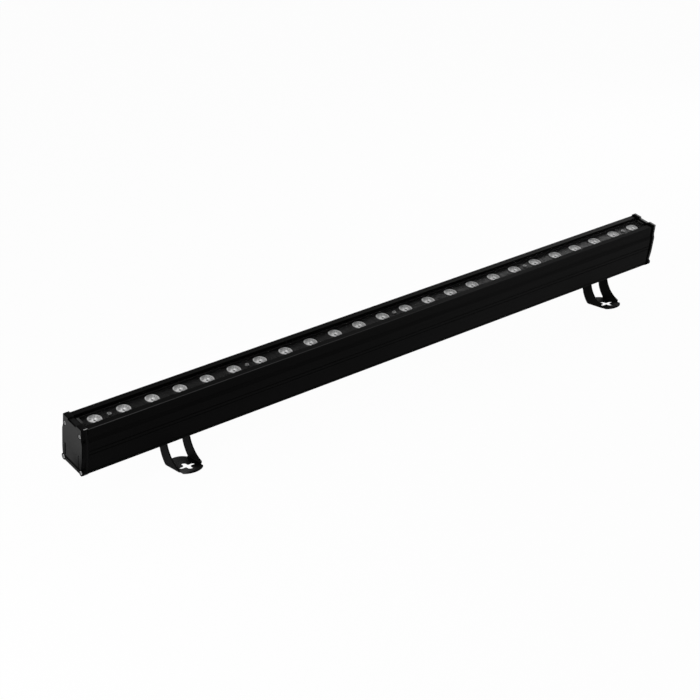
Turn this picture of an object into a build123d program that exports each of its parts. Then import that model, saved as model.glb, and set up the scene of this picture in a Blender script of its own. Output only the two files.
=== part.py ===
"""Linear wall washer light: an extruded housing with a row of lenses, on two adjustable feet.

Millimetres, +Z up, +X along the housing, -Y the front. The origin is on the floor under the middle of
the whole light. The housing leans forward on its two pivots, as it stands in use.
"""
import os
from math import cos, radians, sin

from build123d import *

# Housing: a black aluminium extrusion
housing_length = 1000.0
housing_height = 66.0
top_width = 42.8  # across the outer edges of the two top lips
neck_width = 43.2  # across the flanks just above the shoulders
neck_drop = 14.0  # from the lip tops down to the neck
shoulder_width = 46.8  # across the widest line of the flanks
shoulder_drop = 20.0  # from the lip tops down to the widest line
base_width = 46.6  # across the underside
wall = 2.2
floor_thickness = 2.5
web_thickness = 3.0
mouth_width = 25.2  # opening between the two top lips
chamber_width = 23.0  # narrower space under the ledges, for the lenses
base_corner_radius = 1.2
lip_radius = 0.8
flank_groove_depth = 0.7
flank_groove_height = 1.0
flank_groove_drops = (32.4, 37.5, 61.7)  # from the lip tops down to each groove

# Slot under the housing, in which the brackets slide
slot_mouth = 9.0
slot_width = 16.0
slot_height = 4.5
slot_wall = 2.0

# Window stack, from the lip tops down: glass, seal, lens plate, lenses, light board
glass_drop = 1.5
glass_thickness = 3.0
glass_end_gap = 2.0
seal_thickness = 2.0
seal_width = 2.2
plate_thickness = 2.0
side_gap = 0.2  # between the mouth's walls and what lies in it
lens_count = 24
lens_row_shift = 1.5  # of the lens row's middle from the housing's middle
lens_radius = 10.0
lens_rise = 0.8  # of the lens top above the plate
lens_depth = 7.7  # from the plate's underside to the light board
lens_flange_radius = 11.0
lens_flange_thickness = 1.0
lens_foot_radius = 4.6
lens_cavity_radius = 2.9
lens_cavity_depth = 2.6
lens_dish_radius = 3.2
lens_dish_depth = 0.7
lens_hole_gap = 0.15
board_thickness = 1.6
board_end_gap = 6.0
emitter_side = 3.5
emitter_height = 0.9
emitter_dome_radius = 1.3
emitter_dome_height = 0.6

# Screws
thread_gap = 0.05  # a screw's shank in its tapped hole
hole_gap = 0.3  # a screw's shank in a clearance hole
recess_width = 0.9
recess_span = 3.0
recess_depth = 0.9
plate_screw_radius = 1.5
plate_screw_head_radius = 2.75
plate_screw_head_height = 1.6
plate_screw_pitches = (-11, -6, 0, 6, 11)  # places from the lens row's middle, in lens pitches
cap_screw_radius = 1.5
cap_screw_head_radius = 2.8
cap_screw_head_height = 2.0
cap_screw_head_round = 0.7
cap_screw_bite = 14.0  # length in the housing

# End caps and gaskets
gasket_thickness = 1.0
gasket_inset = 0.4
cap_thickness = 9.0
cap_edge_radius = 1.2
post_rise = 1.7  # of the corner posts above the lips
notch_width = 19.0  # between the corner posts
notch_depth = 2.8
screw_seat = 6.6  # thickness of the cap under its screws' heads
cap_lip_height = 6.0  # of the lip along the cap's bottom, under the panel
panel_groove_height = 1.4  # of the groove between the lip and the panel
panel_groove_depth = 2.5
panel_line_spacing = 30.6  # between the two upright lines in the panel
panel_line_top = 27.0
panel_line_width = 1.2
panel_line_depth = 1.2
side_recess_depth = 1.9  # of the cap's flanks, from the groove up to the lines' top
side_recess_length = 7.0
ear_radius = 4.4
ear_drop = 0.4  # of the ears' outer faces from the cap's
port_boss_radius = 2.9
upper_port_spacing = 34.6
upper_port_drop = 10.3
lower_port_spacing = 40.4
lower_port_height = 3.2
screw_pocket_gap = 0.5
side_notch_drop = 15.5  # from the lip tops down to the notch in each flank of the cap
side_notch_length = 3.6
side_notch_height = 4.4
side_notch_depth = 1.2

# Cable gland on the right cap
gland_height = 27.0  # above the housing's underside
gland_thread_radius = 6.0
gland_bore_radius = 4.2
gland_hex_flats = 15.0
gland_hex_thickness = 4.0
gland_stub = 6.0
gland_nut_radius = 7.2
gland_nut_end = 1.6
gland_nut_round = 1.2
gland_nut_hole_radius = 4.6
gland_seal_collar = 1.4
gland_seal_collar_radius = 5.8
gland_seal_length = 7.0
cable_radius = 3.5
locknut_flats = 16.0
locknut_thickness = 3.5
locknut_clearance = 0.7  # of the gasket's hole round the lock nut's corners

# Driver in the lower chamber
film_thickness = 0.4
driver_board_length = 240.0
driver_board_width = 30.0
driver_board_thickness = 1.6
driver_x = 120.0  # middle of the driver board, from the housing's middle
transformer_size = (30.0, 24.0, 22.0)
transformer_core_width = 11.0
transformer_coil_length = 20.0
transformer_coil_radius = 4.0
transformer_coil_drop = 2.5  # of the coil's ends from the core's
transformer_offset = -20.0  # along the board, from its middle, as the choke's and leads' offsets
capacitor_radius = 6.3
capacitor_height = 22.0
capacitor_count = 3
capacitor_inset = 30.0  # from the board's left end to the first one
capacitor_pitch = 16.0
choke_radius = 9.0
choke_waist_radius = 6.0
choke_height = 14.0
choke_flange = 2.0
choke_offset = 28.0
terminal_size = (22.0, 12.0, 12.0)
terminal_wire_radius = 1.6
terminal_wire_spacing = 6.0
terminal_wire_depth = 11.0
terminal_inset = 20.0  # from the board's right end
lead_radius = 0.9
lead_spacing = 10.0
lead_hole_gap = 0.6
lead_offset = 60.0

# Brackets: slot nut, pivot block and sheet-steel foot
left_foot_inset = 140.9  # from the housing's end to the foot's middle
right_foot_inset = 85.1
slide_gap = 0.1
slot_side_gap = 0.3
nut_length = 30.0
nut_height = 4.0
block_width = 15.0
block_height = 15.6
block_corner_radius = 5.0
pivot_drop = 9.5  # from the housing's underside to the pivot axis
pivot_height = 37.6  # of the pivot axis above the floor
lean_angle = 13.7  # of the housing, forward of upright
clamp_screw_radius = 2.5
clamp_head_radius = 4.2
clamp_head_height = 4.0
clamp_head_recess = 5.0
clamp_head_gap = 0.4
clamp_socket_flats = 4.0
clamp_socket_depth = 2.2
pivot_screw_radius = 2.5
pivot_screw_bite = 8.0
pivot_hole_gap = 0.08
pivot_head_radius = 4.4
pivot_head_height = 2.8
pivot_head_round = 1.2
pivot_play = 0.05
washer_radius = 5.2
washer_thickness = 1.0
foot_width = 36.8
sheet = 2.0
bend_radius = 1.0
leg_width = 17.0
leg_front_reach = 30.4  # of the leg's flared front edge, in front of the pivot
leg_front_height = 4.3  # of that edge's lower end above the floor
leg_back_height = 28.0  # where the back edge starts to curve in
leg_back_setback = 2.4  # of the back edge's lower end, in front of the pivot
lobe_front_reach = 44.2  # of the base plate, in front of the pivot
lobe_front_sag = 6.8  # of the rounded front between its corners
lobe_back_reach = 9.0  # of the base plate, behind the pivot
slot_length = 23.0
slot_breadth = 7.2
slot_front = 23.2  # from the pivot forward to the middle of the cross slot

# Places worked out from the sizes above
lean_cos = cos(radians(lean_angle))
lean_sin = sin(radians(lean_angle))
gland_reach = gland_hex_thickness + gland_stub + gland_seal_collar + gland_nut_end
locknut_corner_radius = locknut_flats / 2 / cos(radians(30))
ear_reach = lower_port_spacing / 2 * lean_cos - (lower_port_height + pivot_drop) * lean_sin + ear_radius
middle_x = -gland_reach / 2
pivot_y = (lobe_front_reach - ear_reach) / 2
under_y = pivot_y - pivot_drop * lean_sin
under_z = pivot_height + pivot_drop * lean_cos

# Planes of the leaning housing: across it, along its top, and along its front
under_middle = (middle_x, under_y, under_z)
section = Plane(origin=under_middle, x_dir=(0, lean_cos, lean_sin), z_dir=(1, 0, 0))
level = Plane(origin=under_middle, x_dir=(1, 0, 0), z_dir=(0, -lean_sin, lean_cos))
front = Plane(origin=under_middle, x_dir=(1, 0, 0), z_dir=(0, -lean_cos, -lean_sin))
up = (0, -lean_sin, lean_cos)

# Places along the housing, from its middle
lens_pitch = housing_length / lens_count
end_of_housing = housing_length / 2
inside_of_cap = end_of_housing + gasket_thickness
foot_places = (left_foot_inset - end_of_housing, end_of_housing - right_foot_inset)
lens_places = [
    (lens_row_shift + (number - (lens_count - 1) / 2) * lens_pitch, 0) for number in range(lens_count)
]
plate_screw_places = [(lens_row_shift + pitches * lens_pitch, 0) for pitches in plate_screw_pitches]
transformer_x = driver_x + transformer_offset
capacitor_start = driver_x - driver_board_length / 2 + capacitor_inset
capacitor_places = [(capacitor_start + number * capacitor_pitch, 0) for number in range(capacitor_count)]
choke_x = driver_x + choke_offset
terminal_x = driver_x + driver_board_length / 2 - terminal_inset
lead_x = driver_x + lead_offset

# Heights above the housing's underside
neck_height = housing_height - neck_drop
shoulder_height = housing_height - shoulder_drop
glass_top = housing_height - glass_drop
seal_top = glass_top - glass_thickness
plate_top = seal_top - seal_thickness
plate_bottom = plate_top - plate_thickness
board_top = plate_bottom - lens_depth
web_top = board_top - board_thickness
web_bottom = web_top - web_thickness
slot_roof = floor_thickness + slot_height + slot_wall
driver_board_bottom = slot_roof + film_thickness
driver_board_top = driver_board_bottom + driver_board_thickness
upper_port_height = housing_height - upper_port_drop
upper_ports = [(-upper_port_spacing / 2, upper_port_height), (upper_port_spacing / 2, upper_port_height)]
lower_ports = [(-lower_port_spacing / 2, lower_port_height), (lower_port_spacing / 2, lower_port_height)]

os.makedirs("parts", exist_ok=True)


def save(part, name):
    """Labels a finished piece and writes its file."""
    part.label = name
    export_step(part, f"parts/{name}.step")


def flank(height):
    """Half the housing's outer width at a height above its underside."""
    if height > neck_height:
        low, high, low_width, high_width = neck_height, housing_height, neck_width, top_width
    elif height > shoulder_height:
        low, high, low_width, high_width = shoulder_height, neck_height, shoulder_width, neck_width
    else:
        low, high, low_width, high_width = 0, shoulder_height, base_width, shoulder_width
    share = (height - low) / (high - low)
    return (low_width + share * (high_width - low_width)) / 2


def outline(top):
    """Corners of the housing's outer section, up to a given height."""
    right = [(flank(y), y) for y in (0, shoulder_height, neck_height)]
    right.append((flank(housing_height), top))
    return right + [(-x, y) for x, y in reversed(right)]


# Housing: the section with its mouth, lens chamber, driver chamber, slide slot and screw ports
with BuildPart() as housing:
    with BuildSketch(section.offset(-end_of_housing)) as profile:
        with BuildLine():
            Polyline(*outline(housing_height), close=True)
        make_face()
        fillet(profile.vertices().group_by(Axis.Y)[0], base_corner_radius)
        with BuildLine():
            Polyline(
                *[(-flank(y) + wall, y) for y in (floor_thickness, web_bottom)],
                *[(flank(y) - wall, y) for y in (web_bottom, floor_thickness)],
                close=True,
            )
        make_face(mode=Mode.SUBTRACT)
        with Locations(*lower_ports):
            Circle(port_boss_radius)
        with Locations((0, floor_thickness)):
            Rectangle(
                slot_width + 2 * slot_wall,
                slot_height + slot_wall,
                align=(Align.CENTER, Align.MIN),
            )
        with Locations((0, floor_thickness)):
            Rectangle(slot_width, slot_height, align=(Align.CENTER, Align.MIN), mode=Mode.SUBTRACT)
        Rectangle(slot_mouth, 2 * floor_thickness + slot_wall, mode=Mode.SUBTRACT)
        with Locations((0, housing_height)):
            Rectangle(
                mouth_width,
                2 * (housing_height - plate_bottom),
                mode=Mode.SUBTRACT,
            )
        with Locations((0, web_top)):
            Rectangle(
                chamber_width,
                plate_bottom - web_top,
                align=(Align.CENTER, Align.MIN),
                mode=Mode.SUBTRACT,
            )
        for side in (-1, 1):
            for drop in flank_groove_drops:
                groove = housing_height - drop
                with Locations((side * flank(groove), groove)):
                    Rectangle(2 * flank_groove_depth, flank_groove_height, mode=Mode.SUBTRACT)
        with Locations(*upper_ports, *lower_ports):
            Circle(cap_screw_radius + thread_gap, mode=Mode.SUBTRACT)
        fillet(profile.vertices().group_by(Axis.Y)[-1], lip_radius)
    extrude(amount=housing_length)
    with BuildSketch(level.offset(web_bottom)):
        with Locations(*plate_screw_places):
            Circle(plate_screw_radius + thread_gap)
        with Locations((lead_x, 0)):
            with GridLocations(0, lead_spacing, 1, 2):
                Circle(lead_radius + lead_hole_gap)
    extrude(amount=web_thickness, mode=Mode.SUBTRACT)
save(housing.part, "housing")

# Light board: an aluminium board that lies on the web, with holes for the plate screws
with BuildPart() as led_board:
    with BuildSketch(level.offset(web_top)):
        Rectangle(housing_length - 2 * board_end_gap, chamber_width - 2 * side_gap)
        with Locations(*plate_screw_places):
            Circle(plate_screw_radius + hole_gap, mode=Mode.SUBTRACT)
    extrude(amount=board_thickness)
save(led_board.part, "led_board")

# Light emitters: one square package with a small dome under each lens
with BuildPart() as led_emitters:
    with BuildSketch(level.offset(board_top)):
        with Locations(*lens_places):
            Rectangle(emitter_side, emitter_side)
    extrude(amount=emitter_height)
    with BuildSketch(level.offset(board_top + emitter_height)):
        with Locations(*lens_places):
            Circle(emitter_dome_radius)
    extrude(amount=emitter_dome_height)
save(led_emitters.part, "led_emitters")


def lens(place):
    """A moulded lens: a cone that stands on the board, a flange under the plate and a barrel through it."""
    foot = level.offset(board_top).from_local_coords((place, 0, 0))
    top = lens_depth + plate_thickness + lens_rise
    with BuildPart() as body:
        with BuildSketch(Plane(origin=foot, x_dir=front.x_dir, z_dir=front.z_dir)):
            with BuildLine():
                Polyline(
                    (0, lens_cavity_depth),
                    (lens_cavity_radius, lens_cavity_depth),
                    (lens_cavity_radius, 0),
                    (lens_foot_radius, 0),
                    (lens_radius, lens_depth - lens_flange_thickness),
                    (lens_flange_radius, lens_depth - lens_flange_thickness),
                    (lens_flange_radius, lens_depth),
                    (lens_radius, lens_depth),
                    (lens_radius, top),
                    (lens_dish_radius, top),
                    (0, top - lens_dish_depth),
                    close=True,
                )
            make_face()
        revolve(axis=Axis(foot, up))
    return body.part


for number, (place, _) in enumerate(lens_places, start=1):
    save(lens(place), f"lens_{number:02d}")

# Lens plate: the black strip that holds the lenses down
with BuildPart() as lens_plate:
    with BuildSketch(level.offset(plate_bottom)):
        Rectangle(housing_length - 2 * glass_end_gap, mouth_width - 2 * side_gap)
        with Locations(*lens_places):
            Circle(lens_radius + lens_hole_gap, mode=Mode.SUBTRACT)
        with Locations(*plate_screw_places):
            Circle(plate_screw_radius + hole_gap, mode=Mode.SUBTRACT)
    extrude(amount=plate_thickness)
save(lens_plate.part, "lens_plate")

# Plate screws: through the plate and the board into the web
with BuildPart() as plate_screws:
    with BuildSketch(level.offset(web_bottom)):
        with Locations(*plate_screw_places):
            Circle(plate_screw_radius)
    extrude(amount=plate_top - web_bottom)
    with BuildSketch(level.offset(plate_top)):
        with Locations(*plate_screw_places):
            Circle(plate_screw_head_radius)
    extrude(amount=plate_screw_head_height)
    with BuildSketch(level.offset(plate_top + plate_screw_head_height)):
        with Locations(*plate_screw_places):
            Rectangle(recess_span, recess_width)
            Rectangle(recess_width, recess_span)
    extrude(amount=-recess_depth, mode=Mode.SUBTRACT)
save(plate_screws.part, "plate_screws")

# Glass seal: a soft frame between the lens plate and the glass
with BuildPart() as glass_seal:
    with BuildSketch(level.offset(plate_top)):
        Rectangle(housing_length - 2 * glass_end_gap, mouth_width - 2 * side_gap)
        Rectangle(
            housing_length - 2 * (glass_end_gap + seal_width),
            mouth_width - 2 * (side_gap + seal_width),
            mode=Mode.SUBTRACT,
        )
    extrude(amount=seal_thickness)
save(glass_seal.part, "glass_seal")

# Glass cover: a clear strip, a little below the lip tops
with BuildPart() as glass_cover:
    with BuildSketch(level.offset(seal_top)):
        Rectangle(housing_length - 2 * glass_end_gap, mouth_width - 2 * side_gap)
    extrude(amount=glass_thickness)
save(glass_cover.part, "glass_cover")

# Driver board on its insulating film, on the roof of the slide slot
with BuildPart() as driver_film:
    with BuildSketch(level.offset(slot_roof)):
        with Locations((driver_x, 0)):
            Rectangle(driver_board_length, slot_width + 2 * slot_wall)
    extrude(amount=film_thickness)
save(driver_film.part, "driver_film")

with BuildPart() as driver_board:
    with BuildSketch(level.offset(driver_board_bottom)):
        with Locations((driver_x, 0)):
            Rectangle(driver_board_length, driver_board_width)
    extrude(amount=driver_board_thickness)
save(driver_board.part, "driver_board")

# Transformer: a wound coil in the middle of its core
with BuildPart() as driver_transformer:
    core_length, core_width, core_height = transformer_size
    with BuildSketch(level.offset(driver_board_top)):
        with Locations((transformer_x, 0)):
            Rectangle(core_length, transformer_core_width)
    extrude(amount=core_height)
    with BuildSketch(level.offset(driver_board_top + transformer_coil_drop)):
        with Locations((transformer_x, 0)):
            RectangleRounded(transformer_coil_length, core_width, transformer_coil_radius)
    extrude(amount=core_height - 2 * transformer_coil_drop)
save(driver_transformer.part, "driver_transformer")

with BuildPart() as driver_capacitors:
    with BuildSketch(level.offset(driver_board_top)):
        with Locations(*capacitor_places):
            Circle(capacitor_radius)
    extrude(amount=capacitor_height)
save(driver_capacitors.part, "driver_capacitors")

# Choke: a drum core with a waist for its winding
with BuildPart() as driver_choke:
    choke_foot = level.offset(driver_board_top).from_local_coords((choke_x, 0, 0))
    with BuildSketch(Plane(origin=choke_foot, x_dir=front.x_dir, z_dir=front.z_dir)):
        with BuildLine():
            Polyline(
                (0, 0),
                (choke_radius, 0),
                (choke_radius, choke_flange),
                (choke_waist_radius, choke_flange),
                (choke_waist_radius, choke_height - choke_flange),
                (choke_radius, choke_height - choke_flange),
                (choke_radius, choke_height),
                (0, choke_height),
                close=True,
            )
        make_face()
    revolve(axis=Axis(choke_foot, up))
save(driver_choke.part, "driver_choke")

# Terminal block with two wire holes that face the gland
with BuildPart() as driver_terminal:
    block_length, block_depth, block_rise = terminal_size
    with BuildSketch(level.offset(driver_board_top)):
        with Locations((terminal_x, 0)):
            Rectangle(block_length, block_depth)
    extrude(amount=block_rise)
    with BuildSketch(section.offset(terminal_x + block_length / 2)):
        with Locations((0, driver_board_top + block_rise / 2)):
            with GridLocations(terminal_wire_spacing, 0, 2, 1):
                Circle(terminal_wire_radius)
    extrude(amount=-terminal_wire_depth, mode=Mode.SUBTRACT)
save(driver_terminal.part, "driver_terminal")

# Leads from the driver board up through the web to the light board
with BuildPart() as lamp_leads:
    with BuildSketch(level.offset(driver_board_top)):
        with Locations((lead_x, 0)):
            with GridLocations(0, lead_spacing, 1, 2):
                Circle(lead_radius)
    extrude(amount=web_top - driver_board_top)
save(lamp_leads.part, "lamp_leads")


def end_gasket(side):
    """A soft sheet between a cap and the housing's end, with holes for the screws and the gland."""
    with BuildPart() as gasket:
        with BuildSketch(section.offset(side * end_of_housing)):
            with BuildLine():
                Polyline(*outline(plate_bottom), close=True)
            make_face()
            offset(amount=-gasket_inset)
            with Locations(*upper_ports, *lower_ports):
                Circle(cap_screw_radius + hole_gap, mode=Mode.SUBTRACT)
            with Locations((0, gland_height)):
                Circle(locknut_corner_radius + locknut_clearance, mode=Mode.SUBTRACT)
        extrude(amount=side * gasket_thickness)
    return gasket.part


def end_cap(side):
    """A cast cap: two posts on top, a panel, a lip below it and two ears for the lower screws."""
    inside = side * inside_of_cap
    outside = inside + side * cap_thickness
    top = housing_height + post_rise
    panel_bottom = cap_lip_height + panel_groove_height
    with BuildPart() as cap:
        with BuildSketch(section.offset(inside)):
            with BuildLine():
                Polyline(*outline(top), close=True)
            make_face()
        extrude(amount=side * cap_thickness)
        fillet(cap.faces().sort_by(Axis.X)[-1 if side > 0 else 0].edges(), cap_edge_radius)
        with BuildSketch(section.offset(inside)):
            with Locations((0, top)):
                Rectangle(notch_width, 2 * notch_depth)
        extrude(amount=side * cap_thickness, mode=Mode.SUBTRACT)
        with BuildSketch(section.offset(outside)):
            with Locations((0, cap_lip_height + panel_groove_height / 2)):
                Rectangle(2 * shoulder_width, panel_groove_height)
        extrude(amount=-side * panel_groove_depth, mode=Mode.SUBTRACT)
        with BuildSketch(section.offset(outside)):
            with Locations((0, (panel_bottom + panel_line_top) / 2)):
                with GridLocations(panel_line_spacing, 0, 2, 1):
                    Rectangle(panel_line_width, panel_line_top - panel_bottom)
        extrude(amount=-side * panel_line_depth, mode=Mode.SUBTRACT)
        with BuildSketch(section.offset(outside)):
            for flank_side in (-1, 1):
                with BuildLine():
                    Polyline(
                        (flank_side * (flank(panel_bottom) - side_recess_depth), panel_bottom),
                        (flank_side * shoulder_width, panel_bottom),
                        (flank_side * shoulder_width, panel_line_top),
                        (flank_side * flank(panel_line_top), panel_line_top),
                        close=True,
                    )
                make_face()
        extrude(amount=-side * side_recess_length, mode=Mode.SUBTRACT)
        with BuildSketch(section.offset(inside)):
            with Locations(*lower_ports):
                Circle(ear_radius)
        extrude(amount=side * (cap_thickness - ear_drop))
        with BuildSketch(section.offset(inside)):
            with Locations(*upper_ports, *lower_ports):
                Circle(cap_screw_radius + hole_gap)
        extrude(amount=side * cap_thickness, mode=Mode.SUBTRACT)
        with BuildSketch(section.offset(inside + side * screw_seat)):
            with Locations(*upper_ports, *lower_ports):
                Circle(cap_screw_head_radius + screw_pocket_gap)
        extrude(amount=side * cap_thickness, mode=Mode.SUBTRACT)
        with BuildSketch(section.offset(inside + side * (cap_thickness - side_notch_length) / 2)):
            notch_height = housing_height - side_notch_drop
            for flank_side in (-1, 1):
                with Locations((flank_side * flank(notch_height), notch_height)):
                    Rectangle(2 * side_notch_depth, side_notch_height)
        extrude(amount=side * side_notch_length, mode=Mode.SUBTRACT)
        if side > 0:
            with BuildSketch(section.offset(inside)):
                with Locations((0, gland_height)):
                    Circle(gland_thread_radius + thread_gap)
            extrude(amount=side * cap_thickness, mode=Mode.SUBTRACT)
    return cap.part


def end_screws(side):
    """Four pan-head screws that hold a cap, each with its head in a pocket."""
    seat = side * (inside_of_cap + screw_seat)
    shank = screw_seat + gasket_thickness + cap_screw_bite
    with BuildPart() as screws:
        with BuildSketch(section.offset(seat)):
            with Locations(*upper_ports, *lower_ports):
                Circle(cap_screw_head_radius)
        extrude(amount=side * cap_screw_head_height)
        with BuildSketch(section.offset(seat)):
            with Locations(*upper_ports, *lower_ports):
                Circle(cap_screw_radius)
        extrude(amount=-side * shank)
        rims = screws.faces().filter_by(Axis.X).group_by(Axis.X)[-1 if side > 0 else 0]
        fillet(rims.edges(), cap_screw_head_round)
        with BuildSketch(section.offset(seat + side * cap_screw_head_height)):
            with Locations(*upper_ports, *lower_ports):
                Rectangle(recess_span, recess_width)
                Rectangle(recess_width, recess_span)
        extrude(amount=-side * recess_depth, mode=Mode.SUBTRACT)
    return screws.part


for side, side_name in ((-1, "left"), (1, "right")):
    save(end_gasket(side), f"end_gasket_{side_name}")
    save(end_cap(side), f"end_cap_{side_name}")
    save(end_screws(side), f"end_screws_{side_name}")

# Cable gland: a body through the right cap, a lock nut inside, a rubber seal and a clamping nut outside
gland_face = inside_of_cap + cap_thickness
stub_end = gland_face + gland_hex_thickness + gland_stub
with BuildPart() as gland_body:
    with BuildSketch(section.offset(end_of_housing - locknut_thickness)):
        with Locations((0, gland_height)):
            Circle(gland_thread_radius)
    extrude(amount=stub_end - end_of_housing + locknut_thickness)
    with BuildSketch(section.offset(gland_face)):
        with Locations((0, gland_height)):
            RegularPolygon(gland_hex_flats / 2, 6, major_radius=False)
    extrude(amount=gland_hex_thickness)
    with BuildSketch(section.offset(end_of_housing - locknut_thickness)):
        with Locations((0, gland_height)):
            Circle(gland_bore_radius)
    extrude(amount=stub_end - end_of_housing + locknut_thickness, mode=Mode.SUBTRACT)
save(gland_body.part, "gland_body")

with BuildPart() as gland_locknut:
    with BuildSketch(section.offset(inside_of_cap)):
        with Locations((0, gland_height)):
            RegularPolygon(locknut_flats / 2, 6, major_radius=False)
            Circle(gland_thread_radius + thread_gap, mode=Mode.SUBTRACT)
    extrude(amount=-locknut_thickness)
save(gland_locknut.part, "gland_locknut")

with BuildPart() as gland_seal:
    with BuildSketch(section.offset(stub_end)):
        with Locations((0, gland_height)):
            Circle(gland_seal_collar_radius)
    extrude(amount=gland_seal_collar)
    with BuildSketch(section.offset(stub_end)):
        with Locations((0, gland_height)):
            Circle(gland_bore_radius - thread_gap)
    extrude(amount=-gland_seal_length)
    with BuildSketch(section.offset(stub_end - gland_seal_length)):
        with Locations((0, gland_height)):
            Circle(cable_radius)
    extrude(amount=gland_seal_length + gland_seal_collar, mode=Mode.SUBTRACT)
save(gland_seal.part, "gland_seal")

with BuildPart() as gland_nut:
    nut_start = gland_face + gland_hex_thickness
    with BuildSketch(section.offset(nut_start)):
        with Locations((0, gland_height)):
            Circle(gland_nut_radius)
    extrude(amount=gland_reach - gland_hex_thickness)
    fillet(gland_nut.faces().sort_by(Axis.X)[-1].edges(), gland_nut_round)
    with BuildSketch(section.offset(nut_start)):
        with Locations((0, gland_height)):
            Circle(gland_thread_radius + thread_gap)
    extrude(amount=gland_stub + gland_seal_collar, mode=Mode.SUBTRACT)
    with BuildSketch(section.offset(nut_start)):
        with Locations((0, gland_height)):
            Circle(gland_nut_hole_radius)
    extrude(amount=gland_reach, mode=Mode.SUBTRACT)
save(gland_nut.part, "gland_nut")

# Sizes that the two brackets share
leg_inside = foot_width / 2 - sheet
block_half = leg_inside - 2 * pivot_play
washer_start = foot_width / 2 + pivot_play
head_start = washer_start + washer_thickness
nut_bottom = floor_thickness + slide_gap
block_bottom = -slide_gap - block_height
clamp_seat = block_bottom + clamp_head_recess


def slot_nut(place):
    """The steel bar in the housing's slot that the clamp screw pulls on."""
    with BuildPart() as nut:
        with BuildSketch(level.offset(nut_bottom)):
            with Locations((place, 0)):
                Rectangle(nut_length, slot_width - 2 * slot_side_gap)
                Circle(clamp_screw_radius + thread_gap, mode=Mode.SUBTRACT)
        extrude(amount=nut_height)
    return nut.part


def pivot_block(place):
    """The block under the housing, with a tongue in the slot's mouth and the pivot screws' holes."""
    with BuildPart() as block:
        with BuildSketch(section.offset(place - block_half)) as profile:
            with Locations((0, -slide_gap)):
                Rectangle(block_width, block_height, align=(Align.CENTER, Align.MAX))
            fillet(profile.vertices().group_by(Axis.Y)[0], block_corner_radius)
            with Locations((0, -slide_gap)):
                Rectangle(
                    slot_mouth - 2 * slot_side_gap,
                    nut_bottom + slide_gap,
                    align=(Align.CENTER, Align.MIN),
                )
        extrude(amount=2 * block_half)
        with BuildSketch(level.offset(block_bottom)):
            with Locations((place, 0)):
                Circle(clamp_screw_radius + hole_gap)
        extrude(amount=nut_bottom - block_bottom, mode=Mode.SUBTRACT)
        with BuildSketch(level.offset(block_bottom)):
            with Locations((place, 0)):
                Circle(clamp_head_radius + clamp_head_gap)
        extrude(amount=clamp_head_recess, mode=Mode.SUBTRACT)
        for side in (-1, 1):
            with BuildSketch(section.offset(place + side * block_half)):
                with Locations((0, -pivot_drop)):
                    Circle(pivot_screw_radius + thread_gap)
            extrude(amount=-side * (pivot_screw_bite + thread_gap), mode=Mode.SUBTRACT)
    return block.part


def clamp_screw(place):
    """The socket screw that pulls the block and the slot nut together."""
    with BuildPart() as screw:
        with BuildSketch(level.offset(clamp_seat)):
            with Locations((place, 0)):
                Circle(clamp_head_radius)
        extrude(amount=-clamp_head_height)
        with BuildSketch(level.offset(clamp_seat)):
            with Locations((place, 0)):
                Circle(clamp_screw_radius)
        extrude(amount=nut_bottom + nut_height - clamp_seat)
        with BuildSketch(level.offset(clamp_seat - clamp_head_height)):
            with Locations((place, 0)):
                RegularPolygon(clamp_socket_flats / 2, 6, major_radius=False)
        extrude(amount=clamp_socket_depth, mode=Mode.SUBTRACT)
    return screw.part


def pivot_screws(place):
    """Two screws, one through each leg, on which the foot turns."""
    with BuildPart() as screws:
        for side in (-1, 1):
            with BuildSketch(section.offset(place + side * (block_half - pivot_screw_bite))):
                with Locations((0, -pivot_drop)):
                    Circle(pivot_screw_radius)
            extrude(amount=side * (head_start - block_half + pivot_screw_bite))
            with BuildSketch(section.offset(place + side * head_start)):
                with Locations((0, -pivot_drop)):
                    Circle(pivot_head_radius)
            extrude(amount=side * pivot_head_height)
        ends = screws.faces().filter_by(Axis.X).sort_by(Axis.X)
        fillet(ends[0].edges() + ends[-1].edges(), pivot_head_round)
        for side in (-1, 1):
            with BuildSketch(section.offset(place + side * (head_start + pivot_head_height))):
                with Locations((0, -pivot_drop)):
                    Rectangle(recess_span, recess_width)
                    Rectangle(recess_width, recess_span)
            extrude(amount=-side * recess_depth, mode=Mode.SUBTRACT)
    return screws.part


def pivot_washers(place):
    """A plain washer between each leg and its screw's head."""
    with BuildPart() as washers:
        for side in (-1, 1):
            with BuildSketch(section.offset(place + side * washer_start)):
                with Locations((0, -pivot_drop)):
                    Circle(washer_radius)
                    Circle(pivot_screw_radius + thread_gap, mode=Mode.SUBTRACT)
            extrude(amount=side * washer_thickness)
    return washers.part


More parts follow.
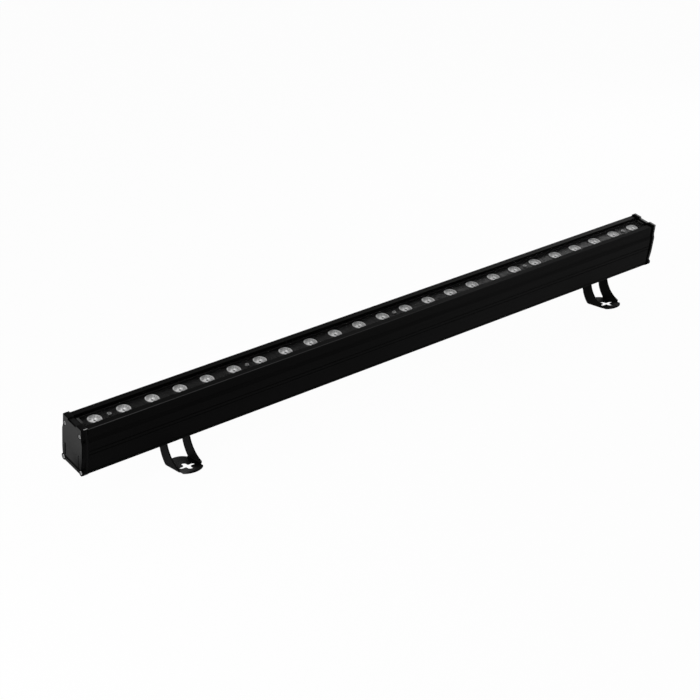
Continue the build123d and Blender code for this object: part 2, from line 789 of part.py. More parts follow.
def foot(place):
    """A sheet-steel yoke: two flared legs, bent up from a base plate with a cross slot."""
    middle = middle_x + place
    half_leg = leg_width / 2
    lobe_half = foot_width / 2 - sheet - bend_radius
    lobe_front_corner = lobe_front_reach - lobe_front_sag
    tall = 2 * (pivot_height + leg_width)
    across = Plane(origin=(middle, pivot_y + leg_width, 0), x_dir=(1, 0, 0), z_dir=(0, -1, 0))
    along = Plane(origin=(middle - foot_width, pivot_y, 0), x_dir=(0, 1, 0), z_dir=(1, 0, 0))
    base = Plane(origin=(middle, pivot_y, 0))
    with BuildPart() as yoke:
        with BuildSketch(across):
            RectangleRounded(foot_width, tall, sheet + bend_radius, align=(Align.CENTER, Align.MIN))
            with Locations((0, sheet)):
                RectangleRounded(
                    foot_width - 2 * sheet,
                    tall,
                    bend_radius,
                    align=(Align.CENTER, Align.MIN),
                    mode=Mode.SUBTRACT,
                )
        extrude(amount=leg_width + lobe_front_reach)
        with BuildSketch(along):
            with BuildLine():
                Polyline((-leg_back_setback, 0), (-leg_front_reach, 0), (-leg_front_reach, leg_front_height))
                TangentArc((-half_leg, pivot_height), (-leg_front_reach, leg_front_height), tangent=(0, -1))
                ThreePointArc(
                    (-half_leg, pivot_height), (0, pivot_height + half_leg), (half_leg, pivot_height)
                )
                Line((half_leg, pivot_height), (half_leg, leg_back_height))
                TangentArc((half_leg, leg_back_height), (-leg_back_setback, 0), tangent=(0, -1))
            make_face()
        extrude(amount=2 * foot_width, mode=Mode.INTERSECT)
        with BuildSketch(base):
            with BuildLine():
                Line((-lobe_half, -leg_back_setback), (-lobe_half, -lobe_front_corner))
                ThreePointArc(
                    (-lobe_half, -lobe_front_corner), (0, -lobe_front_reach), (lobe_half, -lobe_front_corner)
                )
                Line((lobe_half, -lobe_front_corner), (lobe_half, -leg_back_setback))
                ThreePointArc(
                    (lobe_half, -leg_back_setback), (0, lobe_back_reach), (-lobe_half, -leg_back_setback)
                )
            make_face()
        extrude(amount=sheet)
        with BuildSketch(base):
            with Locations((0, -slot_front)):
                SlotOverall(slot_length, slot_breadth)
                SlotOverall(slot_length, slot_breadth, rotation=90)
        extrude(amount=sheet, mode=Mode.SUBTRACT)
        with BuildSketch(along):
            with Locations((0, pivot_height)):
                Circle(pivot_screw_radius + pivot_hole_gap)
        extrude(amount=2 * foot_width, mode=Mode.SUBTRACT)
    return yoke.part


for place, side_name in zip(foot_places, ("left", "right")):
    save(slot_nut(place), f"slot_nut_{side_name}")
    save(pivot_block(place), f"pivot_block_{side_name}")
    save(clamp_screw(place), f"clamp_screw_{side_name}")
    save(pivot_screws(place), f"pivot_screws_{side_name}")
    save(pivot_washers(place), f"pivot_washers_{side_name}")
    save(foot(place), f"foot_{side_name}")
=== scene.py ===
"""Linear wall washer light on two adjustable feet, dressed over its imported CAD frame."""
from math import pi, radians

import bmesh
import bpy
from mathutils import Matrix, Vector


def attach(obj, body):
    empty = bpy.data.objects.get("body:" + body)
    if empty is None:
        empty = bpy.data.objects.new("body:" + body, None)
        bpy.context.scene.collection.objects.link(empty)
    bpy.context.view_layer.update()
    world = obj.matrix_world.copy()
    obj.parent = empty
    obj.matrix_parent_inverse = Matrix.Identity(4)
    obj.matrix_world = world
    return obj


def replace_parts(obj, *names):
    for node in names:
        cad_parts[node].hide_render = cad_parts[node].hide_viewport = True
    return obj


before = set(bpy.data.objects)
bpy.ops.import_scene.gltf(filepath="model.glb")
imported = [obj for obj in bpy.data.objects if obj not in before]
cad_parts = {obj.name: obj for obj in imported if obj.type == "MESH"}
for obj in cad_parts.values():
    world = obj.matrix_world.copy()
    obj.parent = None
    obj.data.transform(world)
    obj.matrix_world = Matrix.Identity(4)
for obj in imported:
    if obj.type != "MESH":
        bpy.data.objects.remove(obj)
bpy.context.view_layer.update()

# Housing: one aluminium extrusion, sawn to length and anodised black. Drawing through the die leaves
# fine lines along it, and the outer corners of its two lips carry a painted highlight. It leans forward on
# its pivots, so its patterns and all the pieces in it are drawn in its own axes: along, back and up.
mm = 0.001
lean = radians(13.7)
under_middle = Vector((-6.5, 9.3413, 46.8297)) * mm  # middle of the housing's underside
lamp_place = Matrix.Translation(under_middle) @ Matrix.Rotation(lean, 4, "X")
lip_top = 66.0
lip_edge = 21.4
mouth_half = 12.6
highlight_fades = (400, 100)  # these three are places along the housing, from its middle
painted_light_towards = (-450, 500)
duller_towards = (60, 360)
dull_lip = 0.64
mixed_colour = 2  # the Mix node's output for colours


def linear(hex_colour):
    """An sRGB hex colour as linear RGBA."""
    parts = [int(hex_colour[i : i + 2], 16) / 255 for i in (1, 3, 5)]
    return (*[p / 12.92 if p <= 0.04045 else ((p + 0.055) / 1.055) ** 2.4 for p in parts], 1.0)


def empty_tree(owner):
    """The node tree of a new material or world, with nothing in it yet."""
    owner.use_nodes = True
    owner.node_tree.nodes.clear()
    return owner.node_tree


def add_node(tree, kind, sockets=None, **settings):
    """Adds a node with its settings; each named socket gets a value or a link from another node."""
    node = tree.nodes.new(kind)
    for setting, value in settings.items():
        setattr(node, setting, value)
    for socket, value in (sockets or {}).items():
        if isinstance(value, bpy.types.NodeSocket):
            tree.links.new(value, node.inputs[socket])
        else:
            node.inputs[socket].default_value = value
    return node


def grained(name, dark, light, grain, roughness, shine=0.5, metal=0.0, stretch=1.0, relief=0.02):
    """A finish whose colour, roughness and relief follow one grain in mm, drawn out along the lamp."""
    material = bpy.data.materials.new(name)
    tree = empty_tree(material)
    place = add_node(tree, "ShaderNodeTexCoord")
    lamp_axes = add_node(
        tree,
        "ShaderNodeMapping",
        {"Vector": place.outputs["Object"], "Location": under_middle, "Rotation": (lean, 0, 0)},
        name="lamp axes",
        vector_type="TEXTURE",
    )
    fine = 1 / (grain * mm)
    spread = add_node(
        tree,
        "ShaderNodeMapping",
        {"Vector": lamp_axes.outputs["Vector"], "Scale": (fine / stretch, fine, fine)},
    )
    pattern = add_node(
        tree,
        "ShaderNodeTexNoise",
        {"Vector": spread.outputs["Vector"], "Scale": 1.0, "Detail": 3.0, "Roughness": 0.6},
        name="pattern",
    )
    shade = add_node(
        tree,
        "ShaderNodeMapRange",
        {"Value": pattern.outputs["Fac"], "From Min": 0.3, "From Max": 0.7},
    )
    tint = add_node(
        tree,
        "ShaderNodeMix",
        {"Factor": shade.outputs["Result"], "A": linear(dark), "B": linear(light)},
        data_type="RGBA",
    )
    gloss = add_node(
        tree,
        "ShaderNodeMapRange",
        {"Value": shade.outputs["Result"], "To Min": roughness[0], "To Max": roughness[1]},
    )
    bump = add_node(
        tree,
        "ShaderNodeBump",
        {"Height": pattern.outputs["Fac"], "Strength": 0.6, "Distance": relief * mm},
    )
    shader = add_node(
        tree,
        "ShaderNodeBsdfPrincipled",
        {
            "Base Color": tint.outputs[mixed_colour],
            "Roughness": gloss.outputs["Result"],
            "Metallic": metal,
            "Specular IOR Level": shine,
            "Normal": bump.outputs["Normal"],
        },
        name="surface",
    )
    add_node(tree, "ShaderNodeOutputMaterial", {"Surface": shader.outputs["BSDF"]})
    return material


def along(material, axis):
    """A point's place along one lamp axis, in metres."""
    tree = material.node_tree
    lamp_axes = tree.nodes["lamp axes"].outputs["Vector"]
    return add_node(tree, "ShaderNodeSeparateXYZ", {"Vector": lamp_axes}).outputs[axis]


def zone(material, axis, start, full, mirrored=True):
    """A mask along one lamp axis, 0 at one place in mm and 1 at another, on both sides if mirrored."""
    tree = material.node_tree
    place = along(material, axis)
    if mirrored:
        place = add_node(tree, "ShaderNodeMath", {0: place}, operation="ABSOLUTE").outputs["Value"]
    ramp = add_node(
        tree,
        "ShaderNodeMapRange",
        {"Value": place, "From Min": start * mm, "From Max": full * mm},
        interpolation_type="SMOOTHSTEP",
    )
    return ramp.outputs["Result"]


def overlaid(material, socket, value, masks):
    """Lays a value over what feeds a shader's socket, where all the masks hold."""
    tree = material.node_tree
    where = masks[0]
    for mask in masks[1:]:
        where = add_node(tree, "ShaderNodeMath", {0: where, 1: mask}, operation="MULTIPLY").outputs["Value"]
    target = tree.nodes["surface"].inputs[socket]
    coat = add_node(
        tree,
        "ShaderNodeMix",
        {"Factor": where, "A": target.links[0].from_socket, "B": value},
        data_type="RGBA",
    )
    tree.links.new(coat.outputs[mixed_colour], target)


def tinted(material, colour, *masks):
    """Lays a colour over a finish where all the masks hold."""
    overlaid(material, "Base Color", linear(colour), masks)


def dulled(material, roughness, *masks):
    """Gives a finish another roughness where all the masks hold."""
    overlaid(material, "Roughness", (roughness, roughness, roughness, 1.0), masks)


def dress(material, *nodes):
    """Gives CAD nodes a finish."""
    for node in nodes:
        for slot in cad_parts[node].material_slots:
            slot.material = material


anodised = grained(
    "black_anodised_extruded_aluminium",
    "#060606",
    "#0a0a0a",
    1.2,
    (0.4, 0.52),
    0.013,
    stretch=120,
    relief=0.03,
)
die_lines = anodised.node_tree.nodes["pattern"].outputs["Fac"]
# A painted highlight on the lips' outer corners fades out towards the right.
tinted(
    anodised,
    "#565656",
    zone(anodised, "Y", lip_edge - 1.0, lip_edge - 0.4),
    zone(anodised, "Z", lip_top - 0.9, lip_top - 0.3),
    zone(anodised, "X", *highlight_fades, mirrored=False),
    die_lines,
)
# The whole finish is painted paler towards the right, as painted light, and there the top of the front lip
# is duller.
tinted(anodised, "#222222", zone(anodised, "X", *painted_light_towards, mirrored=False), die_lines)
dulled(
    anodised,
    dull_lip,
    zone(anodised, "Z", lip_top - 0.6, lip_top - 0.3),
    zone(anodised, "Y", -mouth_half + 1.0, -mouth_half, mirrored=False),
    zone(anodised, "X", *duller_towards, mirrored=False),
)
# The walls between the lips are painted black, as painted shade.
tinted(anodised, "#020202", zone(anodised, "Y", mouth_half + 0.3, mouth_half + 0.1))
dress(anodised, "housing")

# Light board: an aluminium-core board on the housing's web, screen-printed with white solder mask so
# that stray light goes back up. The mask is smooth with a faint orange-peel.
dress(grained("white_solder_mask", "#dfe0db", "#f1f1ec", 1.4, (0.3, 0.42)), "led_board")

# Light emitters: white ceramic packages soldered to the board, each with a dome of silicone whose
# phosphor looks yellow while the lamp is off. The dome starts above the package, so height divides them.
package_top = 50.7
phosphor = grained("phosphor_on_ceramic", "#d9a528", "#f0c64a", 0.3, (0.25, 0.4))
tinted(phosphor, "#e9e7e0", zone(phosphor, "Z", package_top + 0.06, package_top + 0.04))
dress(phosphor, "led_emitters")

# Lenses: turned-form acrylic collimators, one over each emitter, moulded with a flange that the plate
# holds down. The dished face has a rolled edge and a raised collar in the middle, both with a painted
# highlight, and a ring of moulded pips. Spots of painted highlight, the same on every lens, stand where
# clear acrylic gathers light, with spots of painted shade where it sees in.
lens_count = 24
lens_pitch = 1000 / lens_count
lens_row_shift = 1.5
lens_profile = (
    (0, 52.4),
    (2.9, 52.4),
    (2.9, 49.8),
    (4.6, 49.8),
    (10.0, 56.5),
    (11.0, 56.5),
    (11.0, 57.5),
    (10.0, 57.5),
    (10.0, 59.4),
    (9.8, 59.7),
    (9.5, 59.95),
    (8.9, 60.2),
    (8.3, 60.3),
    (7.8, 60.2),
    (5.2, 59.6),
    (4.2, 59.5),
    (3.8, 59.55),
    (2.6, 60.15),
    (2.1, 60.25),
    (1.7, 60.1),
    (1.2, 59.6),
    (0, 59.4),
)
face_height = 58.0
rim_start = 9.6
edge_start = 8.0
collar_start = 4.0
fade = 0.3
pip_count = 12
pip_ring = 6.1
pip_reach = 1.7
pip_depth = 0.75
crescent_middle = (0.4, 0.8)
crescent_reach = (8.6, 9.5)
full_share = 0.4  # how much of a spot's reach has its full tone
# Painted highlights and painted shade on every lens's face.
painted_lens_spots = (  # tone, place across and back from the lens's middle, and reach
    ("#8c8c8c", -1.0, 9.0, 6.0),
    ("#b4b4b4", 0.3, 3.4, 3.4),
    ("#303030", 5.6, -7.4, 3.4),
    ("#383838", -1.8, -2.4, 2.0),
    ("#4c4c4c", -0.4, -5.6, 2.0),
    ("#ffffff", -3.2, -4.1, 2.2),
    ("#ffffff", -5.4, -1.4, 3.4),
    ("#ffffff", 1.6, -0.2, 2.6),
)


def spun(profile, steps=48):
    """A turned shape: points of (radius, height) spun round the vertical axis."""
    shape = bmesh.new()
    line = [shape.verts.new((radius, 0, height)) for radius, height in profile]
    edges = [shape.edges.new(pair) for pair in zip(line, line[1:])]
    bmesh.ops.spin(
        shape, geom=line + edges, cent=(0, 0, 0), axis=(0, 0, 1), angle=2 * pi, steps=steps, use_merge=True
    )
    bmesh.ops.remove_doubles(shape, verts=shape.verts, dist=0.0001)
    bmesh.ops.recalc_face_normals(shape, faces=shape.faces)
    return shape


def made(name, shape, *materials):
    """An object of a shape and its materials, put in the scene."""
    mesh = bpy.data.meshes.new(name)
    shape.to_mesh(mesh)
    shape.free()
    for material in materials:
        mesh.materials.append(material)
    piece = bpy.data.objects.new(name, mesh)
    bpy.context.scene.collection.objects.link(piece)
    return piece


def seat(name, shape, materials, sharp=40):
    """Makes a piece from a shape in the lamp's own millimetres, and seats it in the lamp."""
    bmesh.ops.transform(shape, matrix=lamp_place @ Matrix.Scale(mm, 4), verts=shape.verts)
    piece = made(name, shape, *materials)
    piece.data.polygons.foreach_set("use_smooth", [True] * len(piece.data.polygons))
    piece.data.set_sharp_from_angle(angle=radians(sharp))
    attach(piece, "lamp")
    return piece


acrylic = grained("moulded_clear_acrylic", "#a8a8a8", "#c8c8c8", 2.6, (0.25, 0.4), 0.2)
lens_tree = acrylic.node_tree
row = add_node(
    lens_tree,
    "ShaderNodeMath",
    {0: along(acrylic, "X"), 1: 1 / (lens_pitch * mm), 2: lens_count / 2 - lens_row_shift / lens_pitch},
    operation="MULTIPLY_ADD",
)
cell = add_node(lens_tree, "ShaderNodeMath", {0: row.outputs["Value"]}, operation="FRACT")
across = add_node(
    lens_tree,
    "ShaderNodeMath",
    {0: cell.outputs["Value"], 1: lens_pitch * mm, 2: -lens_pitch / 2 * mm},
    operation="MULTIPLY_ADD",
)
back = along(acrylic, "Y")
on_face = add_node(lens_tree, "ShaderNodeCombineXYZ", {"X": across.outputs["Value"], "Y": back})


def round_zone(x, y, start, full):
    """A mask on every lens's face, by the distance in mm from one point of it."""
    gap = add_node(
        lens_tree,
        "ShaderNodeVectorMath",
        {0: on_face.outputs["Vector"], 1: (x * mm, y * mm, 0)},
        operation="DISTANCE",
    )
    ramp = add_node(
        lens_tree,
        "ShaderNodeMapRange",
        {"Value": gap.outputs["Value"], "From Min": start * mm, "From Max": full * mm},
        interpolation_type="SMOOTHSTEP",
    )
    return ramp.outputs["Result"]


turn = add_node(lens_tree, "ShaderNodeMath", {0: back, 1: across.outputs["Value"]}, operation="ARCTAN2")
turns = add_node(lens_tree, "ShaderNodeMath", {0: turn.outputs["Value"], 1: pip_count}, operation="MULTIPLY")
wave = add_node(lens_tree, "ShaderNodeMath", {0: turns.outputs["Value"]}, operation="COSINE")
pips = add_node(
    lens_tree,
    "ShaderNodeMapRange",
    {"Value": wave.outputs["Value"], "From Min": 0.1, "From Max": 0.9, "To Max": pip_depth},
    interpolation_type="SMOOTHSTEP",
)
tinted(
    acrylic,
    "#6c6c6c",
    pips.outputs["Result"],
    round_zone(0, 0, pip_ring - pip_reach, pip_ring - full_share * pip_reach),
    round_zone(0, 0, pip_ring + pip_reach, pip_ring + full_share * pip_reach),
)
# A painted highlight on the rolled edge and on the collar.
tinted(acrylic, "#e0e0e0", round_zone(0, 0, edge_start - fade, edge_start + fade))
tinted(acrylic, "#e0e0e0", round_zone(0, 0, collar_start + fade, collar_start - fade))
# Under the spots, the outermost edge is painted dark, as painted shade, and more of it at the left and
# front.
tinted(acrylic, "#2c2c2c", round_zone(*crescent_middle, *crescent_reach))
# The spots are painted highlights and painted shade.
for tone, x, y, reach in painted_lens_spots:
    tinted(acrylic, tone, round_zone(x, y, reach, full_share * reach))
# The rim outside the face is dark grey: painted shade from the plate's hole.
acrylic_rim = grained("shaded_acrylic_rim", "#242424", "#303030", 1.6, (0.2, 0.3), 0.2)
for number in range(lens_count):
    optic = spun(lens_profile)
    for face in optic.faces:
        centre = face.calc_center_median()
        face.material_index = int(centre.z > face_height and centre.xy.length > rim_start)
    place = lens_row_shift + (number - (lens_count - 1) / 2) * lens_pitch
    bmesh.ops.translate(optic, vec=(place, 0, 0), verts=optic.verts)
    piece = seat(f"lens_optic_{number + 1:02d}", optic, (acrylic, acrylic_rim))
    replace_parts(piece, f"lens_{number + 1:02d}")

# Lens plate: a black strip punched from sheet and sprayed satin black, so that it throws little light
# back. The spray dries to a fine grit, drawn coarser here so that it shows.
satin_spray = grained(
    "satin_black_sprayed_sheet", "#101010", "#181818", 2.0, (0.28, 0.34), 0.045, relief=0.004
)
dress(satin_spray, "lens_plate")

# Plate screws: small stainless pan heads with a cross recess, between lenses along the plate. They are
# formed cold and left bare, and age has dulled them.
plate_steel = grained(
    "dulled_stainless_steel", "#6a6a6a", "#868686", 0.6, (0.5, 0.6), metal=1.0, relief=0.01
)
dress(plate_steel, "plate_screws")

# Glass seal and end gaskets: black silicone rubber, cut from sheet, dull and faintly mottled. The seal
# frames the glass, and a gasket between each end cap and the housing keeps water out.
rubber = grained("black_silicone_rubber", "#0d0d0d", "#161616", 0.8, (0.7, 0.85), 0.05)
dress(rubber, "glass_seal", "end_gasket_left", "end_gasket_right")

# Glass cover: a strip of clear toughened glass, coated so that it hardly mirrors the room. A pale matt
# layer, patchy over a few centimetres, is mixed in at a slant and not from above, as painted sheen for its
# reflection.
sheen_patch_size = 35.0
sheen_patch_gain = (2.0, 4.0)
sheen_rise = 10.0
sheen_most = 0.08
clear_glass = bpy.data.materials.new("coated_toughened_glass")
glass_tree = empty_tree(clear_glass)
glass_place = add_node(glass_tree, "ShaderNodeTexCoord")
sheen_patch_noise = add_node(
    glass_tree,
    "ShaderNodeTexNoise",
    {"Vector": glass_place.outputs["Object"], "Scale": 1 / (sheen_patch_size * mm), "Detail": 2.0},
)
patches = add_node(
    glass_tree,
    "ShaderNodeMapRange",
    {"Value": sheen_patch_noise.outputs["Fac"], "To Min": sheen_patch_gain[0], "To Max": sheen_patch_gain[1]},
)
# The film is painted sheen: a pale matt layer that stands in for the glass's reflection at a slant.
film = add_node(
    glass_tree,
    "ShaderNodeBsdfPrincipled",
    {"Base Color": linear("#ffffff"), "Roughness": 0.35, "Specular IOR Level": 0.5},
)
clear = add_node(glass_tree, "ShaderNodeBsdfTransparent", {"Color": linear("#fcfcfc")})
slant = add_node(glass_tree, "ShaderNodeLayerWeight", {"Blend": 0.5})
rise = add_node(
    glass_tree, "ShaderNodeMath", {0: slant.outputs["Facing"], 1: sheen_rise}, operation="POWER"
)
veil = add_node(
    glass_tree,
    "ShaderNodeMath",
    {0: rise.outputs["Value"], 1: patches.outputs["Result"]},
    operation="MULTIPLY",
)
capped = add_node(
    glass_tree, "ShaderNodeMath", {0: veil.outputs["Value"], 1: sheen_most}, operation="MINIMUM"
)
facing = add_node(glass_tree, "ShaderNodeNewGeometry")
outer = add_node(
    glass_tree, "ShaderNodeMath", {0: 1.0, 1: facing.outputs["Backfacing"]}, operation="SUBTRACT"
)
sheen_share = add_node(
    glass_tree,
    "ShaderNodeMath",
    {0: capped.outputs["Value"], 1: outer.outputs["Value"]},
    operation="MULTIPLY",
)
pane = add_node(
    glass_tree,
    "ShaderNodeMixShader",
    {0: sheen_share.outputs["Value"], 1: clear.outputs["BSDF"], 2: film.outputs["BSDF"]},
)
add_node(glass_tree, "ShaderNodeOutputMaterial", {"Surface": pane.outputs["Shader"]})
dress(clear_glass, "glass_cover")

# End pads: a short bar of grey silicone between each end of the glass and the cap's notch, which keeps
# the glass from sliding. It is moulded, round on top, and a little uneven where it is pressed. The pads
# are darker at the front, and the right one is painted black, as painted shade.
glass_top = 64.5
glass_end = 498.0
pad_width = 3.0
pad_span = 13.5
pad_height = 0.9
pad_round = 0.75 * pad_height
silicone = grained("grey_moulded_silicone", "#3a3a3a", "#464646", 4.0, (0.5, 0.65), 0.03, relief=0.1)
tinted(silicone, "#202020", zone(silicone, "Y", -3, -7, mirrored=False))
# The right pad is painted black, as painted shade.
tinted(silicone, "#060606", zone(silicone, "X", 0, 400, mirrored=False))
for side_name, side in (("left", -1), ("right", 1)):
    pad = bmesh.new()
    bmesh.ops.create_cube(pad, size=1)
    bmesh.ops.scale(pad, vec=(pad_width, pad_span, pad_height), verts=pad.verts)
    crest = [e for e in pad.edges if all(v.co.z > 0 for v in e.verts)]
    bmesh.ops.bevel(
        pad, geom=crest, offset=pad_round, affect="EDGES", segments=4, profile=0.5, material=-1
    )
    bmesh.ops.translate(pad, vec=(side * glass_end, 0, glass_top + pad_height / 2), verts=pad.verts)
    seat(f"glass_end_pad_{side_name}", pad, (silicone,))

# Driver: a green board on a milky polyester film in the lower chamber, with its parts soldered on.
# The board has a gloss solder mask, the capacitors shrunk sleeves and the coil a wrap of yellow tape.
dress(grained("polyester_film", "#c9cbc8", "#dcdedb", 3.0, (0.3, 0.45)), "driver_film")
dress(grained("green_solder_mask", "#0f4a2a", "#186339", 1.2, (0.25, 0.4)), "driver_board")
dress(grained("polyester_winding_tape", "#c9982a", "#dcb047", 2.5, (0.35, 0.5)), "driver_transformer")
dress(grained("shrunk_capacitor_sleeve", "#16203a", "#1e2b4b", 1.5, (0.25, 0.4)), "driver_capacitors")
dress(grained("sintered_ferrite", "#2b2c2e", "#3a3b3d", 0.6, (0.6, 0.75)), "driver_choke")
dress(grained("green_terminal_nylon", "#1d6b3a", "#2a824a", 0.9, (0.4, 0.55)), "driver_terminal")
dress(grained("red_silicone_lead", "#9c1f1a", "#b52a22", 0.7, (0.4, 0.55)), "lamp_leads")

# End caps: pressure die-cast and sprayed black, with the outer face rubbed down to a grey satin. The
# rounded edges and grooves are painted blackest, as painted shade, and a post's edge has a painted
# highlight.
cap_face = 510.0
cap_top = 67.7
notch_half = 9.5
notch_height = 64.9
groove_middle = 6.7
line_place = 15.3
line_top = 28.0
dead_matt = 0.95
cast_black = grained("black_die_casting", "#070707", "#0c0c0c", 1.4, (0.42, 0.55), 0.012)
left_cap = zone(cast_black, "X", -400, -500, mirrored=False)
right_cap = zone(cast_black, "X", 400, 500, mirrored=False)
# The left cap is painted a little paler away from its face, as painted light. The right one is painted
# black, as painted shade, and matt, with a painted highlight on its outer edge that is palest at the top.
right_edge = zone(cast_black, "X", cap_face - 4.4, cap_face - 3.4, mirrored=False)
tinted(cast_black, "#101010", zone(cast_black, "X", -cap_face + 6.0, -cap_face + 7.0, mirrored=False))
tinted(cast_black, "#020202", right_cap)
dulled(
    cast_black,
    dead_matt,
    right_cap,
    zone(cast_black, "X", cap_face - 3.6, cap_face - 4.6, mirrored=False),
)
tinted(cast_black, "#464646", right_edge)
tinted(cast_black, "#808080", right_edge, zone(cast_black, "Z", 62, 64))
# The left cap's rounded edge is painted black, as painted shade, and so is the outer edge of its notch,
# whose floor is painted paler, as painted light.
tinted(cast_black, "#020202", zone(cast_black, "X", -cap_face + 1.8, -cap_face + 1.2, mirrored=False))
notch_floor = (
    zone(cast_black, "Y", notch_half, notch_half - 0.4),
    zone(cast_black, "Z", notch_height + 0.5, notch_height + 0.3),
    zone(cast_black, "Z", notch_height - 0.5, notch_height - 0.3),
)
notch_edge = zone(cast_black, "X", -cap_face + 2.8, -cap_face + 2.2, mirrored=False)
tinted(cast_black, "#1c1c1c", left_cap, *notch_floor)
tinted(cast_black, "#020202", notch_edge, *notch_floor)
# The faces are palest at the top, darker towards the bottom and darkest at the front bottom corner.
rubbed_face = zone(cast_black, "X", cap_face - 0.35, cap_face - 0.1)
tinted(cast_black, "#343434", rubbed_face)
tinted(cast_black, "#272727", rubbed_face, zone(cast_black, "Z", 60, 0))
tinted(
    cast_black,
    "#0d0d0d",
    rubbed_face,
    zone(cast_black, "Z", 36, 6),
    zone(cast_black, "Y", 4, -18, mirrored=False),
)
# The groove across each face and the upright line behind the middle are painted black, as painted shade.
tinted(
    cast_black,
    "#020202",
    zone(cast_black, "X", cap_face - 2.8, cap_face - 2.4),
    zone(cast_black, "Z", groove_middle + 2.6, groove_middle + 2.2),
    zone(cast_black, "Z", groove_middle - 1.8, groove_middle - 1.4),
)
tinted(
    cast_black,
    "#020202",
    zone(cast_black, "X", cap_face - 1.4, cap_face - 1.2),
    zone(cast_black, "Z", line_top, line_top - 1.0),
    zone(cast_black, "Y", line_place + 2.2, line_place + 1.8, mirrored=False),
    zone(cast_black, "Y", line_place - 1.6, line_place - 1.2, mirrored=False),
)
# The left cap's front post has a painted highlight along its upper outer edge.
tinted(
    cast_black,
    "#a8a8a8",
    zone(cast_black, "X", -cap_face + 3.0, -cap_face + 4.0, mirrored=False),
    left_cap,
    zone(cast_black, "Y", -lip_edge + 0.9, -lip_edge + 0.5, mirrored=False),
    zone(cast_black, "Z", cap_top - 0.9, cap_top - 0.4),
)
dress(cast_black, "end_cap_left", "end_cap_right")

# Cap screws: stainless pan heads in the caps' pockets, four to a cap, that hold it to the housing. They
# are left bare, and are brighter than the plate's screws.
bright_steel = grained(
    "bright_stainless_steel", "#8e8e8e", "#a8a8a8", 0.6, (0.3, 0.45), metal=1.0, relief=0.01
)
dress(bright_steel, "end_screws_left", "end_screws_right")

# Cable gland: black nylon body, nut and lock nut, moulded, with a rubber seal that grips the cable. The
# nut has ribs all round for the fingers and a rounded end with the cable's hole.
nylon = grained("black_moulded_nylon", "#161616", "#202020", 0.6, (0.4, 0.55), 0.3)
dress(nylon, "gland_body", "gland_locknut")
dress(rubber, "gland_seal")
gland_height = 27.0
nut_start = cap_face + 4.0
nut_profile = (
    (6.05, 0),
    (6.5, 0),
    (6.75, 0.4),
    (6.75, 6.4),
    (6.6, 7.2),
    (6.1, 8.3),
    (5.5, 8.85),
    (4.9, 9.0),
    (4.6, 8.8),
    (4.6, 7.4),
    (6.05, 7.4),
    (6.05, 0),
)
ribs = 32
rib_rise = 0.4
rib_slope = 0.3
grip_radius = 6.6
grip_start = 3.0
grip_end = 4.0
nut = spun(nut_profile, ribs)
grip = []
for face in nut.faces:
    centre = face.calc_center_median()
    if centre.xy.length > grip_radius and grip_start < centre.z < grip_end:
        grip.append(face)
bmesh.ops.inset_individual(nut, faces=grip, thickness=rib_slope, depth=rib_rise)
bmesh.ops.rotate(nut, cent=(0, 0, 0), matrix=Matrix.Rotation(pi / 2, 3, "Y"), verts=nut.verts)
bmesh.ops.translate(nut, vec=(nut_start, 0, gland_height), verts=nut.verts)
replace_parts(seat("ribbed_gland_nut", nut, (nylon,), sharp=30), "gland_nut")

# Brackets: a zinc-plated nut in the slot of the housing's underside, a black anodised block under it,
# and a clamp screw of black oxide steel for each foot. The foot turns on two bare stainless screws with
# washers.
zinc = grained("zinc_plated_steel", "#8f9297", "#a8abaf", 1.2, (0.3, 0.45), metal=1.0)
dress(zinc, "slot_nut_left", "slot_nut_right")
dress(anodised, "pivot_block_left", "pivot_block_right")
oxide = grained("black_oxide_steel", "#1b1c1e", "#27282a", 0.5, (0.35, 0.5), 0.4)
dress(oxide, "clamp_screw_left", "clamp_screw_right")
dress(bright_steel, "pivot_screws_left", "pivot_screws_right", "pivot_washers_left", "pivot_washers_right")

# Feet: sheet steel, blanked and folded, with a black powder coat that dries to a fine orange-peel. On
# the left foot the base is painted paler, as painted light, and the right fold is painted black, as painted
# shade.
left_foot = -359.1
foot_half = 18.4
base_front = -51.4
powder_coat = grained("black_powder_coat", "#0a0a0a", "#111111", 1.6, (0.4, 0.52), 0.015)
# Painted light on the left foot's base.
tinted(
    powder_coat,
    "#444444",
    zone(powder_coat, "X", left_foot - foot_half + 2.6, left_foot - foot_half + 3.4, mirrored=False),
    zone(powder_coat, "X", left_foot + 8, left_foot - 6, mirrored=False),
    zone(powder_coat, "Y", base_front, base_front + 7, mirrored=False),
)
# Painted shade in the left foot's right fold.
tinted(
    powder_coat,
    "#030303",
    zone(powder_coat, "X", left_foot + 4, left_foot + 11, mirrored=False),
    zone(powder_coat, "X", left_foot + foot_half - 2.0, left_foot + foot_half - 2.6, mirrored=False),
)
dress(powder_coat, "foot_left", "foot_right")

# Floor: a pale matt studio floor, wide enough to fill every view. The camera, mirrors and glass see it
# nearly white, and it keeps a faint shadow.
floor_half = 20.0
floor_drop = 0.2 * mm
floor_white = 0.97


def seen_directly(tree):
    """A mask of 1 for the rays of the camera, of mirrors and of glass, and 0 for those that give light."""
    ray = add_node(tree, "ShaderNodeLightPath")
    seen = ray.outputs["Is Camera Ray"]
    for kind in ("Is Glossy Ray", "Is Transmission Ray"):
        widest = add_node(tree, "ShaderNodeMath", {0: seen, 1: ray.outputs[kind]}, operation="MAXIMUM")
        seen = widest.outputs["Value"]
    return seen


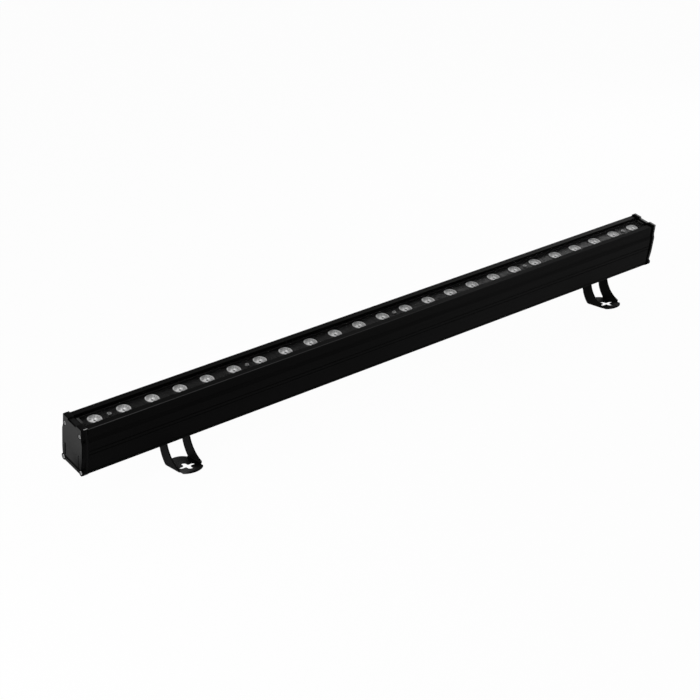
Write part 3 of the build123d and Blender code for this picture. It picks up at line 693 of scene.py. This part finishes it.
floor_shape = bmesh.new()
bmesh.ops.create_grid(floor_shape, x_segments=1, y_segments=1, size=floor_half)
bmesh.ops.translate(floor_shape, vec=(0, 0, -floor_drop), verts=floor_shape.verts)
pale = bpy.data.materials.new("pale_studio_floor")
floor_tree = empty_tree(pale)
white_share = add_node(
    floor_tree, "ShaderNodeMath", {0: seen_directly(floor_tree), 1: floor_white}, operation="MULTIPLY"
)
matt = add_node(floor_tree, "ShaderNodeBsdfDiffuse", {"Color": linear("#f2f2f2")})
white = add_node(floor_tree, "ShaderNodeEmission", {"Color": linear("#ffffff"), "Strength": 1.0})
blend = add_node(
    floor_tree,
    "ShaderNodeMixShader",
    {0: white_share.outputs["Value"], 1: matt.outputs["BSDF"], 2: white.outputs["Emission"]},
)
add_node(floor_tree, "ShaderNodeOutputMaterial", {"Surface": blend.outputs["Shader"]})
made("studio_floor", floor_shape, pale)

# Light: a dim even room and two soft lamps. One is near the left end, where it lights the end cap and
# the tops and leaves the front of the housing dark. The other, behind the right end, shines on the plate.
room_strength = 0.25
lamps = (  # name, place, the point it faces, size in metres and power in watts
    ("key_lamp", Vector((-1.58, -0.42, 0.69)), Vector((-0.5, 0, 0.1)), 0.8, 15),
    ("back_lamp", Vector((1.345, 0.506, 0.795)), Vector((0.5, 0, 0.1)), 0.8, 5),
)
world = bpy.data.worlds.new("studio")
bpy.context.scene.world = world
world_tree = empty_tree(world)
room = add_node(
    world_tree, "ShaderNodeBackground", {"Color": linear("#ffffff"), "Strength": room_strength}
)
backdrop = add_node(world_tree, "ShaderNodeBackground", {"Color": linear("#ffffff"), "Strength": 1.0})
sky = add_node(
    world_tree,
    "ShaderNodeMixShader",
    {0: seen_directly(world_tree), 1: room.outputs["Background"], 2: backdrop.outputs["Background"]},
)
add_node(world_tree, "ShaderNodeOutputWorld", {"Surface": sky.outputs["Shader"]})
for lamp_name, lamp_from, lamp_towards, lamp_size, lamp_power in lamps:
    lamp = bpy.data.lights.new(lamp_name, "AREA")
    lamp.shape = "DISK"
    lamp.size = lamp_size
    lamp.energy = lamp_power
    lamp_stand = bpy.data.objects.new(lamp_name, lamp)
    lamp_stand.location = lamp_from
    lamp_stand.rotation_euler = (lamp_from - lamp_towards).to_track_quat("Z", "Y").to_euler()
    bpy.context.scene.collection.objects.link(lamp_stand)

# Camera: from the front left and above, through a long lens and rolled a little, level with neither the
# floor nor the housing. Its place is given from the middle of the housing's underside.
camera = bpy.data.cameras.new("camera")
camera.sensor_width = 36
camera.lens = 87.69
camera_place = bpy.data.objects.new("camera", camera)
right = Vector((0.77738, -0.62579, -0.06386))
upward = Vector((0.28363, 0.25811, 0.92355))
backward = right.cross(upward)
turned = Matrix((right, upward, backward)).transposed().to_4x4()
camera_offset = Vector((-1380.02, -1719.40, 903.27)) * mm
camera_place.matrix_world = Matrix.Translation(under_middle + camera_offset) @ turned
bpy.context.scene.collection.objects.link(camera_place)
bpy.context.scene.camera = camera_place
bpy.context.scene.view_settings.view_transform = "Standard"
